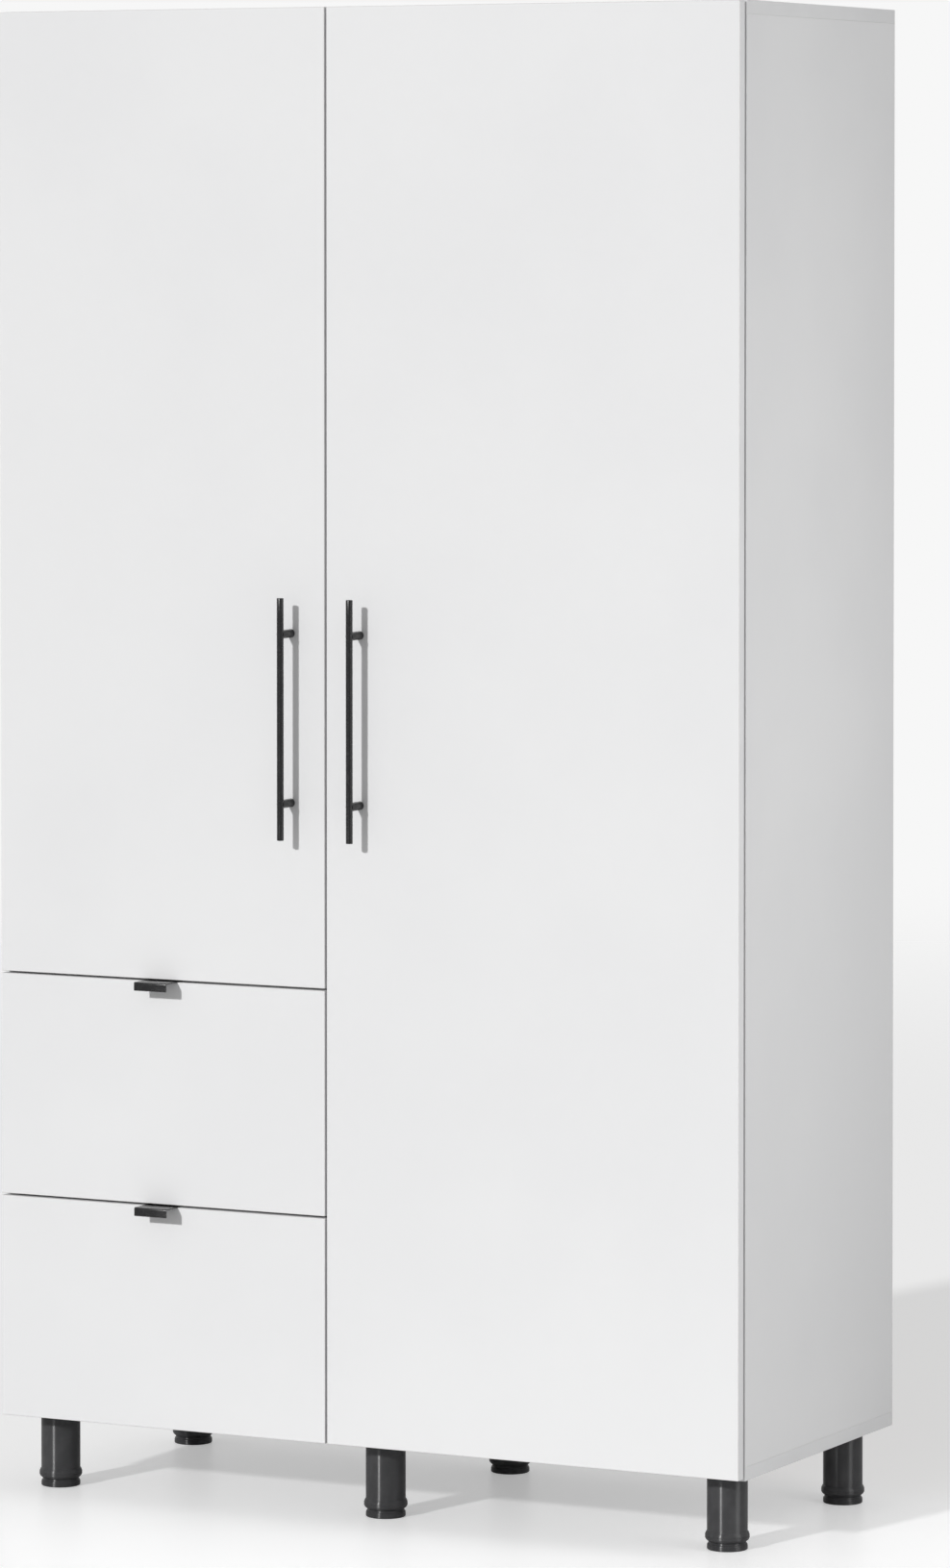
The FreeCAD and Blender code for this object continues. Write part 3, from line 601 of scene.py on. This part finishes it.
def body_of(name):
    return frame["nodes"][name]["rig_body"]


# Metal drawn, rolled or plated: fine lines or mottle in its tone, gloss and height.
drawn, given, result = effect(
    "worked_metal", {"Place": "Vector", "Stretch": "Vector", "Light": "Color", "Dark": "Color",
                     "Smooth": "Float", "Rough": "Float"},
    {"Colour": "Color", "Roughness": "Float", "Height": "Float"})
lines = node(drawn, "TexNoise", {"Vector": vector_maths(drawn, "MULTIPLY", given["Place"], given["Stretch"]),
                                 "Scale": 1.0, "Detail": 5.0, "Roughness": 0.6}).outputs[0]
patch = node(drawn, "TexNoise", {"Vector": given["Place"], "Scale": 90.0, "Detail": 3.0}).outputs[0]
share = maths(drawn, "ADD", maths(drawn, "MULTIPLY", lines, 0.6), maths(drawn, "MULTIPLY", patch, 0.4))
share = ramp(drawn, share, 0.38, 0.62)
drawn.links.new(mixed(drawn, share, given["Dark"], given["Light"]), result["Colour"])
drawn.links.new(ramp(drawn, share, 0.0, 1.0, given["Rough"], given["Smooth"]), result["Roughness"])
drawn.links.new(lines, result["Height"])


def metal(name, light, dark, smooth, rough, stretch, relief):
    """A metal finish. stretch is how many marks per metre run along each axis."""
    finish, tree = new_material(name)
    place = node(tree, "TexCoord").outputs["Object"]
    worked = apply_effect(tree, drawn, Place=place, Stretch=stretch, Light=light, Dark=dark,
                          Smooth=smooth, Rough=rough)
    bump = node(tree, "Bump", {"Height": worked["Height"], "Strength": relief,
                               "Distance": 0.05 * mm}).outputs[0]
    shade(tree, {"Base Color": worked["Colour"], "Roughness": worked["Roughness"], "Normal": bump},
          Metallic=1.0)
    return finish


bright_zinc = metal("bright_zinc", (0.74, 0.76, 0.80, 1), (0.60, 0.62, 0.64, 1), 0.26, 0.40,
                    (1500, 1500, 1500), 0.15)
fixings = bmesh.new()
add_screws(fixings, "carcass_fixings")
add_piece("carcass_fixings_made", fixings, "carcass", ["carcass_fixings"], bright_zinc)
for name in ("left_door_screws", "right_door_screws"):
    door_screws = bmesh.new()
    add_screws(door_screws, name)
    add_piece(name + "_made", door_screws, body_of(name), [name], bright_zinc)

# ---------------------------------------------------------------- cams, dowels and shelf pins
# Die-cast cams with a cross slot draw the heads of steel bolts into the boards' ends, and
# fluted beech dowels keep the boards in line. Turned nickel-plated pins carry the shelves.
cast_zinc = metal("cast_zinc", (0.60, 0.61, 0.62, 1), (0.45, 0.46, 0.47, 1), 0.36, 0.55, (700, 700, 700), 0.4)
bright_nickel = metal("bright_nickel", (0.74, 0.71, 0.66, 1), (0.62, 0.60, 0.56, 1), 0.16, 0.28,
                      (900, 900, 900), 0.08)


def cam_form(radius, depth):
    """A cam's barrel, its slotted face at height 0: rim, sunk face, boss and cross slot."""
    rings = [(0, -0.9 * mm), (radius * 0.52, -0.9 * mm), (radius * 0.56, -0.3 * mm),
             (radius * 0.70, -0.3 * mm), (radius * 0.74, -0.8 * mm), (radius * 0.86, -0.8 * mm),
             (radius * 0.90, 0), (radius * 0.97, 0),
             (radius, -0.3 * mm), (radius, -depth + 0.5 * mm), (radius - 0.5 * mm, -depth), (0, -depth)]
    return carved(turned(rings, 40), cross_recess(radius * 1.05, 1.0 * mm, -3.0 * mm))


def bolt_form(radius, thread, length):
    """A cam bolt with its seat at height 0: thread below, then collar, stem and ball head above."""
    pitch = 1.8 * mm
    stem = radius * 0.62
    top = length - thread
    ball = [(radius * math.sin(angle), top - radius + radius * math.cos(angle) * 0.95)
            for angle in [math.pi * step / 8 for step in range(6, -1, -1)]]
    neck = [(0, -thread)] + list(reversed(threaded(radius - 0.5 * mm, 0, -thread, pitch, 0.6 * mm, 2 * mm)))
    collar = [(radius, 0.1 * mm), (radius, 1.4 * mm), (stem, 1.8 * mm), (stem, top - 2.2 * radius)]
    return mesh_of(turned(neck + collar + ball, 20, lambda turn, height: zigzag(turn + height / pitch)))


def dowel_form(radius, length):
    """A fluted dowel about height 0 with chamfered ends."""
    half = length / 2
    flute = 0.35 * mm
    rings = [(0, -half), (radius - 1.2 * mm, -half, 0), (radius, -half + 1.5 * mm, flute),
             (radius, half - 1.5 * mm, flute), (radius - 1.2 * mm, half, 0), (0, half)]
    return mesh_of(turned(rings, 72, lambda turn, height: zigzag(turn * 18)))


def pin_form(radius, length):
    """A shelf pin about height 0 with a ring groove by the board and eased ends."""
    half, groove = length / 2, 0.25 * mm
    rings = [(0, -half), (radius - 0.7 * mm, -half), (radius, -half + 0.7 * mm), (radius, -0.6 * mm),
             (radius - groove, -0.35 * mm), (radius - groove, 0.35 * mm), (radius, 0.6 * mm),
             (radius, half - 0.6 * mm), (radius - 0.6 * mm, half), (0, half)]
    return mesh_of(turned(rings, 32))


cams, bolts = bmesh.new(), bmesh.new()
bolt_thread = 11 * mm
longest_cam = 20 * mm
cam_mesh = bolt_mesh = None
for count, solid in enumerate(solids_of("cam_fittings")):
    axis, middle, low, high = turned_axis(solid)
    ends = {end: radius_at(solid, axis, middle, end) for end in (low, high)}
    length = high - low
    is_cam = length < longest_cam
    if is_cam:
        top = min(ends, key=lambda end: ends[end][1])
        cam_mesh = cam_mesh or cam_form(ends[top][0], length)
        foot, spin = top, count * 0.4
    else:
        tip, top = sorted(ends, key=lambda end: ends[end][0])
        bolt_mesh = bolt_mesh or bolt_form(ends[top][0], bolt_thread, length)
        foot, spin = tip + math.copysign(bolt_thread, top - tip), 0.0
    direction, seat = Vector(), middle.copy()
    direction[axis] = 1.0 if top == high else -1.0
    seat[axis] = foot
    gathered, form = (cams, cam_mesh) if is_cam else (bolts, bolt_mesh)
    add_copy(gathered, form, seat, direction, spin)
add_piece("cams", cams, "carcass", ["cam_fittings"], cast_zinc)
add_piece("cam_bolts", bolts, "carcass", ["cam_fittings"], bright_zinc)


def in_place_of(name, make):
    """Copies one turned form, made for the first solid of a node, onto all its solids."""
    form, mesh = bmesh.new(), None
    for solid in solids_of(name):
        axis, middle, low, high = turned_axis(solid)
        mesh = mesh or make(radius_at(solid, axis, middle, low)[0], high - low)
        direction = Vector()
        direction[axis] = 1.0
        add_copy(form, mesh, middle, direction)
    return form


beech, tree = new_material("beech")
place = node(tree, "TexCoord").outputs["Object"]
grain = apply_effect(tree, drawn, Place=place, Stretch=(500, 1500, 500), Light=(0.62, 0.42, 0.24, 1),
                     Dark=(0.44, 0.27, 0.14, 1), Smooth=0.55, Rough=0.75)
shade(tree, {"Base Color": grain["Colour"], "Roughness": grain["Roughness"],
             "Normal": node(tree, "Bump", {"Height": grain["Height"], "Strength": 0.4,
                                           "Distance": 0.1 * mm}).outputs[0]})
add_piece("fluted_dowels", in_place_of("dowels", dowel_form), "carcass", ["dowels"], beech)
add_piece("turned_shelf_pins", in_place_of("shelf_pins", pin_form), "carcass", ["shelf_pins"],
          bright_nickel)

# ---------------------------------------------------------------- the hanging rail and its sockets
# An oval tube of chromed steel, sawn square and deburred, drops into two die-cast sockets
# that are screwed to the partition and the right side under the hat shelf.
rail_wall = 1.2 * mm
deburr = 0.3 * mm
low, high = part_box("hanging_rail")
rail_middle = (low + high) / 2
rail_radius = (high.y - low.y) / 2
rail_straight = (high.z - low.z) / 2 - rail_radius


def oval_loop(x, radius, steps=14):
    """A loop of the rail's section: two half circles, above and below, at one place along it."""
    loop = []
    for side in (1, -1):
        for step in range(steps + 1):
            angle = math.pi * step / steps + (0 if side == 1 else math.pi)
            loop.append((x, rail_middle.y + radius * math.cos(angle),
                         rail_middle.z + side * rail_straight + radius * math.sin(angle)))
    return loop


rail = bmesh.new()
inside = rail_radius - rail_wall
spread = 24
loops = [oval_loop(low.x, inside + deburr), oval_loop(low.x, rail_radius - deburr)]
loops += [oval_loop(low.x + deburr + (high.x - low.x - 2 * deburr) * n / spread, rail_radius)
          for n in range(spread + 1)]
loops += [oval_loop(high.x, rail_radius - deburr), oval_loop(high.x, inside + deburr),
          oval_loop(high.x - deburr, inside), oval_loop(low.x + deburr, inside)]
skinned(rail, loops, wrap=True)
chrome = metal("chrome", (0.84, 0.85, 0.87, 1), (0.76, 0.77, 0.79, 1), 0.05, 0.14, (60, 2500, 2500), 0.04)
add_piece("oval_hanging_rail", rail, "carcass", ["hanging_rail"], chrome, 30)


def softened(name, width, keep=lambda solid: not turned_axis(solid)):
    """A copy of a pressed or cast node, less its screws, with its sharp arrises eased."""
    wanted = [solid for solid in solids_of(name) if keep(solid)]
    corners = {tuple(round(part / mm, 3) for part in point) for solid in wanted for point in solid}
    form = bmesh.new()
    form.from_mesh(frame["nodes"][name].data)
    bmesh.ops.remove_doubles(form, verts=form.verts, dist=0.001 * mm)
    others = [vert for vert in form.verts if tuple(round(part / mm, 3) for part in vert.co) not in corners]
    bmesh.ops.delete(form, geom=others, context="VERTS")
    bmesh.ops.dissolve_limit(form, angle_limit=math.radians(0.5), verts=form.verts, edges=form.edges)
    arrises = [edge for edge in form.edges
               if len(edge.link_faces) == 2 and edge.calc_face_angle() > math.radians(30)]
    bmesh.ops.bevel(form, geom=arrises, offset=width, offset_type="OFFSET", segments=2, profile=0.5,
                    affect="EDGES", clamp_overlap=True)
    bmesh.ops.triangulate(form, faces=[face for face in form.faces if len(face.verts) > 4])
    return form


add_piece("cast_rail_sockets", softened("rail_sockets", 0.4 * mm), "carcass", ["rail_sockets"],
          cast_zinc, 35)

# ---------------------------------------------------------------- the legs
# Six round tubes of black moulded plastic with a swelling collar near the foot, each capped
# by a plate that is screwed up into the bottom panel through three holes.


def moulded(name, light, dark, smooth, rough, scale, relief, **constants):
    """Moulded plastic or powder coat: a drift of tone under a fine pebbled skin. A finish
    with an Anisotropic value shines in a streak along an upright turned surface."""
    finish, tree = new_material(name)
    place = node(tree, "TexCoord").outputs["Object"]
    colour = apply_effect(tree, drift, Place=place, Light=light, Dark=dark, Scale=45.0)["Colour"]
    skin = apply_effect(tree, pebble, Place=place, Scale=scale, Smooth=smooth, Rough=rough)
    bump = node(tree, "Bump", {"Height": skin["Height"], "Strength": relief, "Distance": 0.1 * mm}).outputs[0]
    feeds = {"Base Color": colour, "Roughness": skin["Roughness"], "Normal": bump}
    if "Anisotropic" in constants:
        feeds["Tangent"] = node(tree, "Tangent", direction_type="RADIAL", axis="Z").outputs[0]
    shade(tree, feeds, **constants)
    return finish


# The sizes of the outlines below are in millimetres, for scaled to turn into metres.
leg_top = 100.0
leg_plate = 3.0
tube_top = leg_top - leg_plate
tube_foot = 10.5
tube_floor = 14.0
leg_radius = 26.5
leg_wall = 2.5
tube_bore = leg_radius - leg_wall
spigot_foot = 85.0
collar_radius = 29.0
groove_radius = collar_radius - 0.5
stem_bore = 12.1
sleeve_radius = 15.0
sleeve_top = 62.0
places = [row + "_" + column for row in ("front", "rear") for column in ("left", "middle", "right")]
streak = {"Anisotropic": 1.0, "Anisotropic_Rotation": 0.25}
leg_plastic = moulded("leg_plastic", (0.054, 0.054, 0.056, 1), (0.044, 0.044, 0.046, 1), 0.34, 0.40,
                      2200.0, 0.1, **streak)


def scaled(corners):
    return [(u * mm, v * mm, radius * mm) for u, v, radius in corners]


tube_outline = rounded(scaled([
    (stem_bore, tube_foot, 0.3), (25.0, tube_foot, 0.5), (27.8, 13.0, 1.0), (collar_radius, 15.2, 1.2),
    (collar_radius, 17.1, 0.15), (groove_radius, 17.4, 0.1), (collar_radius, 17.7, 0.15),
    (collar_radius, 19.3, 1.2), (27.9, 22.4, 1.5), (leg_radius, 24.0, 1.2), (leg_radius, tube_top, 0.35),
    (tube_bore, tube_top, 0.3), (tube_bore, tube_floor, 1.0), (sleeve_radius, tube_floor, 1.0),
    (sleeve_radius, sleeve_top, 0.4), (stem_bore, sleeve_top, 0.3)]))
plate_outline = [(0, tube_top * mm)] + rounded(scaled([
    (21.9, tube_top, 0), (21.9, spigot_foot, 0.4), (23.9, spigot_foot, 0.4), (23.9, tube_top, 0),
    (leg_radius, tube_top, 0.35), (leg_radius, leg_top, 0.5)])) + [(0, leg_top * mm)]
for where in places:
    name = "leg_" + where
    low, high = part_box(name)
    axis = (low + high) / 2
    leg = turned(tube_outline, 96, wrap=True)
    turned(plate_outline, 96, form=leg)
    bmesh.ops.translate(leg, verts=leg.verts, vec=(axis.x, axis.y, 0))
    add_piece("turned_" + name, leg, "carcass", [name], leg_plastic, 50)

# ---------------------------------------------------------------- the levelling feet
# A ring of the same black plastic, ribbed under its rim, on a coarse threaded stem that
# screws up into the leg's sleeve.
foot_plastic = moulded("foot_plastic", (0.045, 0.045, 0.047, 1), (0.035, 0.035, 0.037, 1), 0.34, 0.42, 1800.0,
                       0.12, **streak)
thread_pitch = 3 * mm
foot_sole = [(0, 0.6 * mm)] + rounded(scaled([
    (9.0, 0.6, 0.3), (9.6, 0.0, 0.3), (14.0, 0.0, 0.3), (14.6, 0.6, 0.3), (18.0, 0.6, 0.3),
    (18.6, 0.0, 0.3), (25.6, 0.0, 0.7), (leg_radius, 1.0, 0.6), (leg_radius, 2.6, 0.1), (26.1, 2.9, 0.1),
    (leg_radius, 3.2, 0.1), (leg_radius, 5.0, 0.1), (26.0, 5.3, 0.1), (26.4, 5.7, 0.2), (26.0, 7.2, 0.7),
    (24.5, 7.9, 0.8), (24.5, 10.1, 0.3), (12.0, 10.2, 0)]))
foot_stem = threaded(12 * mm, 10.3 * mm, 60 * mm, thread_pitch, 1.1 * mm)
for where in places:
    name = "foot_" + where
    low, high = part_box(name)
    axis = (low + high) / 2
    foot = turned(foot_sole[:-1] + foot_stem + [(0, 60 * mm)], 96,
                  lambda turn, height: zigzag(turn - height / thread_pitch))
    bmesh.ops.translate(foot, verts=foot.verts, vec=(axis.x, axis.y, 0))
    add_piece("threaded_" + name, foot, name, [name], foot_plastic, 50)

# ---------------------------------------------------------------- the concealed hinges
# Nickel-plated pressed steel: a cup let into the door's back, an arm that curls round its
# pin, and a winged plate on the carcass side under the arm, each held by small screws.
hinge_ease = 0.25 * mm
hinge_parts = {"hinge_arms": "pressed_hinge_arms", "hinge_plates": "pressed_hinge_plates",
               "left_hinge_cups": "left_pressed_cups", "right_hinge_cups": "right_pressed_cups"}
pressed_nickel = metal("pressed_nickel", (0.70, 0.68, 0.63, 1), (0.57, 0.55, 0.51, 1), 0.22, 0.34,
                       (1200, 1200, 1200), 0.1)
for name, made in hinge_parts.items():
    add_piece(made, softened(name, hinge_ease), body_of(name), [name], pressed_nickel, 35)
arm_screws = bmesh.new()
add_screws(arm_screws, "hinge_arms")
add_piece("hinge_arm_screws", arm_screws, "carcass", ["hinge_arms"], bright_nickel)
for side in ("left", "right"):
    pins = bmesh.new()
    name = side + "_hinge_cups"
    for solid in solids_of(name):
        found = turned_axis(solid)
        if found:
            axis, middle, low, high = found
            half, radius = (high - low) / 2, radius_at(solid, axis, middle, low)[0]
            pin = turned([(0, -half), (radius - 0.3 * mm, -half), (radius, -half + 0.3 * mm),
                          (radius, half - 0.3 * mm), (radius - 0.3 * mm, half), (0, half)], 24)
            add_copy(pins, mesh_of(pin), middle, Vector((0, 0, 1)))
    if pins.verts:
        add_piece(side + "_hinge_pins", pins, body_of(name), [name], bright_nickel)

# ---------------------------------------------------------------- the drawer runners
# Telescoping rails of zinc-plated strip, rolled lengthwise, with strips of steel balls
# between them. The outer rail is screwed to the carcass, the inner one to the drawer side.
rolled_zinc = metal("rolled_zinc", (0.70, 0.72, 0.75, 1), (0.57, 0.59, 0.61, 1), 0.26, 0.40,
                    (1400, 25, 1400), 0.12)
for level in ("upper", "lower"):
    name = level + "_outer_rails"
    add_piece(level + "_rolled_outer_rails", softened(name, 0.3 * mm), body_of(name), [name],
              rolled_zinc, 35)
    name = level + "_inner_rails"
    add_piece(level + "_rolled_inner_rails", softened(name, 0.3 * mm), body_of(name), [name],
              rolled_zinc, 35)
    rail_screws = bmesh.new()
    add_screws(rail_screws, name)
    add_piece(level + "_inner_rail_screws", rail_screws, body_of(name), [name], bright_zinc)
    frame["nodes"][level + "_middle_rails"].material_slots[0].material = rolled_zinc

# ---------------------------------------------------------------- the door handles
# A straight round steel bar on two posts, powder-coated black. Each post is hollowed to
# fit round the bar and is drawn tight by a screw through the door.
bar_radius = 4.5 * mm
post_radius = 5.75 * mm
powder_black = moulded("powder_black", (0.016, 0.016, 0.017, 1), (0.011, 0.011, 0.012, 1), 0.22, 0.30, 3000.0,
                       0.12)
bar_chamfer = 0.6 * mm
for side in ("left", "right"):
    name = side + "_handle_bar"
    low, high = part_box(name)
    bar_axis = (low + high) / 2
    half = (high.z - low.z) / 2
    end = [(0, 0), (bar_radius - 1.6 * mm, 0), (bar_radius - bar_chamfer, -0.08 * mm),
           (bar_radius - 0.18 * mm, -0.3 * mm), (bar_radius, -bar_chamfer - 0.1 * mm)]
    rings = [(radius, half + drop) for radius, drop in end]
    rings += [(bar_radius, half - (2 * half) * n / 12) for n in range(1, 12)]
    rings += [(radius, -half - drop) for radius, drop in reversed(end)]
    bar = turned(rings, 56)
    bmesh.ops.translate(bar, verts=bar.verts, vec=bar_axis)
    add_piece(side + "_turned_bar", bar, body_of(name), [name], powder_black, 40)

    posts = bmesh.new()
    name = side + "_handle_posts"
    for solid in solids_of(name):
        door_y = max(point.y for point in solid)
        middle_z = (max(point.z for point in solid) + min(point.z for point in solid)) / 2
        reach = door_y - bar_axis.y
        post = turned([(0, 0), (post_radius - 0.5 * mm, 0), (post_radius, 0.5 * mm), (post_radius, 2.0 * mm),
                       (post_radius - 0.2 * mm, 2.15 * mm), (post_radius - 0.2 * mm, 2.45 * mm),
                       (post_radius, 2.6 * mm), (post_radius, reach - 1.5 * mm),
                       (post_radius - 0.4 * mm, reach - 0.4 * mm), (post_radius - 0.4 * mm, reach),
                       (0, reach)], 48)
        saddle = turned([(0, -10 * mm), (bar_radius + 0.05 * mm, -10 * mm), (bar_radius + 0.05 * mm, 10 * mm),
                         (0, 10 * mm)], 56)
        bmesh.ops.transform(saddle, verts=saddle.verts,
                            matrix=Matrix.Translation((0, 0, reach)) @ Matrix.Rotation(math.pi / 2, 4, "X"))
        add_copy(posts, carved(post, saddle), Vector((bar_axis.x, door_y, middle_z)), Vector((0, -1, 0)))
    add_piece(side + "_turned_posts", posts, body_of(name), [name], powder_black, 40)

# ---------------------------------------------------------------- the drawer pulls
# A strip of steel sheet bent over the top edge of each drawer front, with a short lip in
# front and a longer leg behind that takes two screws. Powder-coated like the handles.
pull_sheet = 1.2 * mm
pull_lip = 11.5 * mm
pull_bend = 2 * mm
for level in ("upper", "lower"):
    name = level + "_drawer_pull"
    low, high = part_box(name)
    front_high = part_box(level + "_drawer_front")[1]
    inner_bend = pull_bend - pull_sheet
    back_y = front_high.y + pull_sheet
    outline = rounded([
        (low.y, high.z - pull_lip, 0.4 * mm), (low.y, high.z, pull_bend), (back_y, high.z, pull_bend),
        (back_y, low.z, 0.4 * mm), (front_high.y, low.z, 0.4 * mm), (front_high.y, front_high.z, 0),
        (low.y + pull_sheet, front_high.z, inner_bend),
        (low.y + pull_sheet, high.z - pull_lip, 0.4 * mm)], 6)
    pull = bmesh.new()
    ends = [[pull.verts.new((x, y, z)) for y, z in outline] for x in (low.x, high.x)]
    caps = [pull.faces.new(ends[0]), pull.faces.new(list(reversed(ends[1])))]
    for n in range(len(outline)):
        after = (n + 1) % len(outline)
        pull.faces.new((ends[0][n], ends[0][after], ends[1][after], ends[1][n]))
    bmesh.ops.bevel(pull, geom=[edge for cap in caps for edge in cap.edges], offset=0.2 * mm,
                    offset_type="OFFSET", segments=2, profile=0.5, affect="EDGES", clamp_overlap=True)
    bmesh.ops.triangulate(pull, faces=[face for face in pull.faces if len(face.verts) > 4])
    add_piece(level + "_bent_pull", pull, body_of(name), [name], powder_black, 30)
    pull_screws = bmesh.new()
    add_screws(pull_screws, name)
    add_piece(level + "_pull_screws", pull_screws, body_of(name), [name], bright_zinc)

# ---------------------------------------------------------------- the door bumpers
# Small domes of clear soft plastic, stuck to the backs of the doors where they meet the
# partition, so that they shut quietly.


def dome_form(radius, height):
    """A bumper about height 0, its flat foot down."""
    rings = [(0, -height / 2), (radius * 0.97, -height / 2), (radius, -height / 2 + 0.12 * mm)]
    rings += [(radius * math.cos(angle), -height / 2 + 0.3 * mm + (height - 0.3 * mm) * math.sin(angle))
              for angle in [math.pi / 2 * step / 8 for step in range(8)]]
    return mesh_of(turned(rings + [(0, height / 2)], 32))


clear_soft, tree = new_material("clear_soft_plastic")
place = node(tree, "TexCoord").outputs["Object"]
colour = apply_effect(tree, drift, Place=place, Light=(0.95, 0.96, 0.97, 1), Dark=(0.88, 0.90, 0.91, 1),
                      Scale=300.0)["Colour"]
skin = apply_effect(tree, pebble, Place=place, Scale=1500.0, Smooth=0.10, Rough=0.24)
shade(tree, {"Base Color": colour, "Roughness": skin["Roughness"]}, IOR=1.43, Transmission_Weight=0.85)
for side in ("left", "right"):
    name = side + "_door_bumpers"
    add_piece(side + "_clear_bumpers", in_place_of(name, dome_form), body_of(name), [name],
              clear_soft)

low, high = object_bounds()
